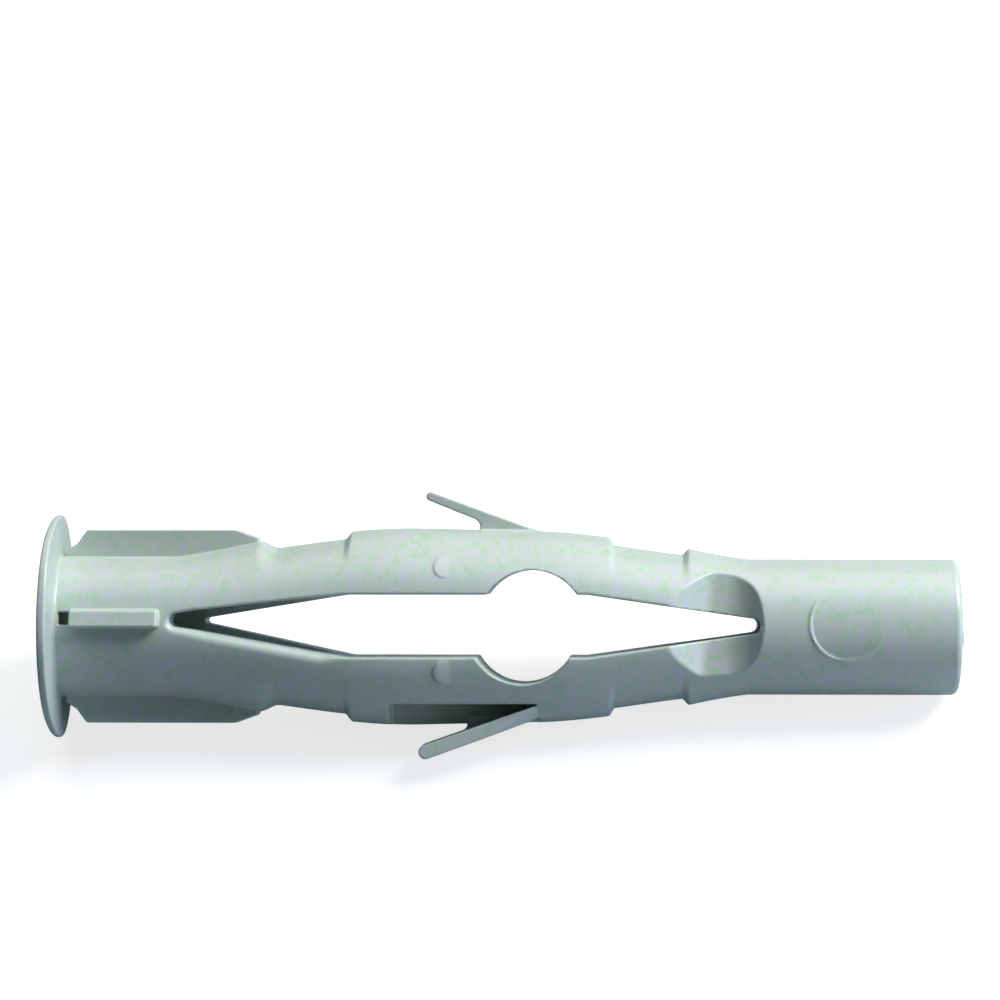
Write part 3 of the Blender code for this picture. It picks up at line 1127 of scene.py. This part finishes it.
@dataclass
class Plug:
    """The moulded plug as one mesh."""

    form: PlugForm
    rest: Rest
    step: float = 0.1
    most_triangles: int = 190000
    kept_bend: float = math.radians(14.0)
    keep_strength: float = 20.0
    shortest_edge: float = 0.002

    def build(self) -> bpy.types.Object:
        """Draws the surface, thins it where it is even, and lays it in the row frame.

        Returns:
            The plug, at the origin, with every corner's direction taken from the form.
        """
        skinner = Skinner(self.form, self.step)
        surface = skinner.surface()
        mesh = bpy.data.meshes.new("nylon_plug")
        write_mesh(mesh, surface)
        plug = add_object("nylon_plug", mesh)
        self.thin(plug, self.even_corners(surface, skinner))
        set_corners(plug.data, skinner.settled(corners_of(plug.data)))
        self.clean(plug.data)
        own = corners_of(plug.data)
        set_corners(plug.data, self.rest.points(own))
        plug.data.shade_smooth()
        out = self.rest.directions(skinner.directions(self.form, own))
        plug.data.normals_split_custom_set_from_vertices(out.tolist())
        log.info("plug: %d triangles drawn, %d kept", len(surface.faces), len(plug.data.polygons))
        return plug

    def even_corners(self, surface: Surface, skinner: Skinner) -> np.ndarray:
        """Which corners lie where the skin is even: not on an edge, nor beside one.

        Along an edge the skin's direction turns by more than the kept bend within one triangle.

        Args:
            surface: The drawn surface.
            skinner: What drew it.

        Returns:
            The numbers of those corners.
        """
        out = skinner.directions(self.form, surface.corners)
        limit = math.cos(self.kept_bend)
        bent = np.zeros(len(surface.corners), dtype=bool)
        for first, second in ((0, 1), (1, 2), (2, 0)):
            near, far = surface.faces[:, first], surface.faces[:, second]
            folded = np.einsum("ij,ij->i", out[near], out[far]) < limit
            bent[near[folded]] = True
            bent[far[folded]] = True
        return np.flatnonzero(~bent)

    def thin(self, plug: bpy.types.Object, even: np.ndarray) -> None:
        """Merges corners where the surface is even, until the mesh is small enough.

        Args:
            plug: The plug. It gets a new mesh.
            even: The numbers of the corners where the skin is even.
        """
        group = plug.vertex_groups.new(name="even")
        group.add(even.tolist(), 1.0, "REPLACE")
        thinner = plug.modifiers.new("thin", "DECIMATE")
        thinner.ratio = min(1.0, self.most_triangles / len(plug.data.polygons))
        thinner.vertex_group = group.name
        thinner.vertex_group_factor = self.keep_strength
        thinned = plug.evaluated_get(bpy.context.evaluated_depsgraph_get())
        mesh = bpy.data.meshes.new_from_object(thinned)
        plug.modifiers.clear()
        plug.vertex_groups.clear()
        plug.data = mesh

    def clean(self, mesh: bpy.types.Mesh) -> None:
        """Collapses edges of almost no length, and takes out faces that lie back to back.

        Args:
            mesh: A mesh of triangles. A few of its edges may still lie between four faces.
        """
        shape = bmesh.new()
        shape.from_mesh(mesh)
        bmesh.ops.dissolve_degenerate(shape, edges=shape.edges, dist=self.shortest_edge)
        bmesh.ops.triangulate(shape, faces=[face for face in shape.faces if len(face.verts) > 3])
        shape.to_mesh(mesh)
        ends = np.empty(len(mesh.loops), dtype=np.int32)
        mesh.loops.foreach_get("vertex_index", ends)
        _, group, members = np.unique(np.sort(ends.reshape(-1, 3), axis=1), axis=0,
                                      return_inverse=True, return_counts=True)
        flaps = np.flatnonzero(members[group.ravel()] > 1)
        shape.faces.ensure_lookup_table()
        bmesh.ops.delete(shape, geom=[shape.faces[i] for i in flaps], context="FACES")
        shape.to_mesh(mesh)
        shape.free()
        log.info("plug: %d faces lay back to back", len(flaps))


def write_mesh(mesh: bpy.types.Mesh, surface: Surface) -> None:
    """Fills an empty mesh with a surface, whole arrays at a time.

    Args:
        mesh: The empty mesh.
        surface: What it gets.
    """
    mesh.vertices.add(len(surface.corners))
    mesh.vertices.foreach_set("co", surface.corners.astype(np.float32).ravel())
    sides = surface.faces.shape[1]
    mesh.loops.add(surface.faces.size)
    mesh.loops.foreach_set("vertex_index", surface.faces.astype(np.int32).ravel())
    mesh.polygons.add(len(surface.faces))
    starts = np.arange(0, surface.faces.size, sides, dtype=np.int32)
    mesh.polygons.foreach_set("loop_start", starts)
    mesh.update(calc_edges=True)


def add_object(name: str, data: bpy.types.ID) -> bpy.types.Object:
    """An object that shows the data, added to the scene.

    Args:
        name: The object's name.
        data: A mesh, a light or a camera.

    Returns:
        The object.
    """
    thing = bpy.data.objects.new(name, data)
    bpy.context.scene.collection.objects.link(thing)
    return thing


def set_inputs(node: bpy.types.Node, values: dict[str, object]) -> None:
    """Sets a node's inputs by their names."""
    for name, value in values.items():
        node.inputs[name].default_value = value


def wire(links: bpy.types.NodeLinks, wires: tuple[Wire, ...]) -> None:
    """Joins nodes: each wire is a node, its output's name, the next node and its input's name."""
    for source, output, target, socket in wires:
        links.new(source.outputs[output], target.inputs[socket])


def corners_of(mesh: bpy.types.Mesh) -> np.ndarray:
    """The mesh's corners as rows of three.

    Args:
        mesh: Any mesh.

    Returns:
        The corners.
    """
    flat = np.empty(3 * len(mesh.vertices), dtype=np.float32)
    mesh.vertices.foreach_get("co", flat)
    return flat.reshape(-1, 3).astype(float)


def set_corners(mesh: bpy.types.Mesh, corners: np.ndarray) -> None:
    """Moves the mesh's corners."""
    mesh.vertices.foreach_set("co", corners.astype(np.float32).ravel())
    mesh.update()


@dataclass(frozen=True)
class NylonFinish:
    """Satin grey nylon with a faint blotchy tint and a fine moulded grain."""

    base: tuple[float, float, float] = (0.52, 0.595, 0.515)
    green: tuple[float, float, float] = (0.41, 0.57, 0.41)
    violet: tuple[float, float, float] = (0.55, 0.535, 0.605)
    roughness_low: float = 0.30
    roughness_high: float = 0.42
    index: float = 1.53
    specular: float = 0.7
    green_at: float = 0.36
    base_at: float = 0.5
    violet_at: float = 0.64
    blotch_per_mm: float = 1.7
    blotch_detail: float = 5.0
    blotch_roughness: float = 0.72
    grain_per_mm: float = 9.0
    grain_detail: float = 2.0
    grain_strength: float = 0.05
    grain_height: float = 0.02

    def material(self) -> bpy.types.Material:
        """Builds the shader from noise in the object's own coordinates.

        Returns:
            The material.
        """
        material = bpy.data.materials.new("nylon")
        material.use_nodes = True
        nodes, links = material.node_tree.nodes, material.node_tree.links
        shader = nodes["Principled BSDF"]
        where = nodes.new("ShaderNodeTexCoord")
        blotch = nodes.new("ShaderNodeTexNoise")
        set_inputs(blotch, {"Scale": self.blotch_per_mm / MM, "Detail": self.blotch_detail,
                            "Roughness": self.blotch_roughness})
        tint = nodes.new("ShaderNodeValToRGB")
        stops = tint.color_ramp.elements
        stops[0].position, stops[0].color = self.green_at, (*self.green, 1.0)
        stops[1].position, stops[1].color = self.violet_at, (*self.violet, 1.0)
        stops.new(self.base_at).color = (*self.base, 1.0)
        shine = nodes.new("ShaderNodeMapRange")
        set_inputs(shine, {"To Min": self.roughness_low, "To Max": self.roughness_high})
        grain = nodes.new("ShaderNodeTexNoise")
        set_inputs(grain, {"Scale": self.grain_per_mm / MM, "Detail": self.grain_detail})
        bump = nodes.new("ShaderNodeBump")
        set_inputs(bump, {"Strength": self.grain_strength, "Distance": self.grain_height * MM})
        wire(links, ((where, "Object", blotch, "Vector"), (where, "Object", grain, "Vector"),
                     (blotch, "Fac", tint, "Fac"), (blotch, "Fac", shine, "Value"),
                     (grain, "Fac", bump, "Height"), (tint, "Color", shader, "Base Color"),
                     (shine, "Result", shader, "Roughness"), (bump, "Normal", shader, "Normal")))
        set_inputs(shader, {"IOR": self.index, "Specular IOR Level": self.specular,
                            "Metallic": 0.0})
        return material


@dataclass(frozen=True)
class Lamp:
    """One square soft lamp that looks at the plug."""

    name: str
    direction: tuple[float, float, float]
    distance: float
    size: float
    power: float
    colour: tuple[float, float, float]

    def place(self, target: Vector) -> None:
        """Adds the lamp to the scene.

        Args:
            target: What the lamp looks at.
        """
        data = bpy.data.lights.new(self.name, "AREA")
        data.shape = "SQUARE"
        data.size = self.size
        data.energy = self.power
        data.color = self.colour
        lamp = add_object(self.name, data)
        way = Vector(self.direction).normalized()
        lamp.location = target + way * self.distance
        lamp.rotation_euler = way.to_track_quat("Z", "Y").to_euler()


@dataclass(frozen=True)
class Studio:
    """A pale table under soft lamps, in front of plain white."""

    table_size: float = 1.2
    table_seen: float = 0.5
    table_glow: float = 0.75
    table_felt: tuple[float, float, float] = (0.36, 0.41, 0.47)
    table_roughness: float = 0.9
    ambient: tuple[float, float, float] = (0.72, 0.86, 1.0)
    ambient_strength: float = 0.03
    lamps: tuple[Lamp, ...] = (
        Lamp("top", (0.038, 0.641, 0.764), 0.45, 0.40, 0.83, (1.0, 0.97, 0.87)),
        Lamp("right_above", (0.656, 0.272, 0.702), 0.30, 0.16, 1.06, (1.0, 1.0, 0.99)),
        Lamp("right_low", (0.977, -0.150, 0.112), 0.22, 0.10, 0.18, (0.32, 0.54, 1.0)),
        Lamp("front_above", (0.049, 0.174, 0.984), 0.45, 0.30, 0.26, (0.1, 0.5, 1.0)),
        Lamp("nose_low", (0.745, -0.610, 0.271), 0.074, 0.03, 0.005, (1.0, 1.0, 1.0)))

    def build(self, target: Vector) -> None:
        """Adds the table, the surroundings and the lamps.

        Args:
            target: What the lamps look at.
        """
        self.add_table()
        self.set_surroundings()
        for lamp in self.lamps:
            lamp.place(target)

    def add_table(self) -> None:
        """A flat square at the height of nought, white to the camera and duller to the plug."""
        half = self.table_size / 2
        corners = np.array([(-half, -half, 0.0), (half, -half, 0.0),
                            (half, half, 0.0), (-half, half, 0.0)])
        mesh = bpy.data.meshes.new("table")
        write_mesh(mesh, Surface(corners, np.array([[0, 1, 2, 3]])))
        table = add_object("table", mesh)
        material = bpy.data.materials.new("table")
        material.use_nodes = True
        nodes, links = material.node_tree.nodes, material.node_tree.links
        shader = nodes["Principled BSDF"]
        set_inputs(shader, {"Roughness": self.table_roughness, "Specular IOR Level": 0.0,
                            "Emission Color": (1.0, 1.0, 1.0, 1.0)})
        path = nodes.new("ShaderNodeLightPath")
        shade = nodes.new("ShaderNodeMix")
        shade.data_type = "RGBA"
        set_inputs(shade, {"A": (*self.table_felt, 1.0), "B": (*(self.table_seen,) * 3, 1.0)})
        glow = nodes.new("ShaderNodeMath")
        glow.operation = "MULTIPLY"
        glow.inputs[1].default_value = self.table_glow
        links.new(path.outputs["Is Camera Ray"], glow.inputs[0])
        wire(links, ((path, "Is Camera Ray", shade, "Factor"),
                     (glow, "Value", shader, "Emission Strength"),
                     (shade, "Result", shader, "Base Color")))
        mesh.materials.append(material)
        table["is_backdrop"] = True

    def set_surroundings(self) -> None:
        """White where the camera looks, and a soft cool light everywhere else."""
        world = bpy.data.worlds.new("surroundings")
        world.use_nodes = True
        bpy.context.scene.world = world
        nodes, links = world.node_tree.nodes, world.node_tree.links
        soft = nodes["Background"]
        set_inputs(soft, {"Color": (*self.ambient, 1.0), "Strength": self.ambient_strength})
        white = nodes.new("ShaderNodeBackground")
        set_inputs(white, {"Color": (1.0, 1.0, 1.0, 1.0)})
        path = nodes.new("ShaderNodeLightPath")
        mix = nodes.new("ShaderNodeMixShader")
        links.new(path.outputs["Is Camera Ray"], mix.inputs["Fac"])
        links.new(soft.outputs["Background"], mix.inputs[1])
        links.new(white.outputs["Background"], mix.inputs[2])
        links.new(mix.outputs["Shader"], nodes["World Output"].inputs["Surface"])


@dataclass(frozen=True)
class Camera:
    """The photo's camera: it looks along the slot, almost square to the plug."""

    yaw: float = 0.033816
    roll: float = 0.022035
    aim: tuple[float, float, float] = (25.0, 0.0, 0.0)
    offset: tuple[float, float, float] = (-0.2250, 7.0098, 180.0)
    lens: float = 117.0
    sensor: float = 36.0
    near: float = 0.01

    def place(self, rest: Rest) -> None:
        """Adds the camera. Its place is given from the middle of the plug, in its own axes.

        Args:
            rest: How the plug lies.
        """
        turn = Matrix.Rotation(-self.yaw, 3, "Y") @ Matrix.Rotation(-self.roll, 3, "X")
        back = np.array(turn.transposed())
        own = np.array(self.aim) + back @ np.array(self.offset)
        axes = Matrix((rest.matrix() @ back).tolist())
        data = bpy.data.cameras.new("camera")
        data.lens = self.lens
        data.sensor_width = self.sensor
        data.clip_start = self.near
        camera = add_object("camera", data)
        camera.location = Vector(rest.points(own[None, :])[0])
        camera.rotation_euler = axes.to_euler()
        bpy.context.scene.camera = camera


def main() -> None:
    """Builds the plug, its nylon, the table, the lamps and the camera."""
    logging.basicConfig(level=logging.INFO, format="%(name)s: %(message)s")
    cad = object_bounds()
    bpy.context.scene.view_settings.view_transform = "Standard"
    rest = Rest()
    plug = Plug(PlugForm(), rest).build()
    plug.data.materials.append(NylonFinish().material())
    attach(plug, "root")
    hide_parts(NODE)
    Studio().build((cad[0] + cad[1]) / 2)
    Camera().place(rest)
    log.info("table, lamps and camera are in place")


if __name__ == "__main__":
    main()
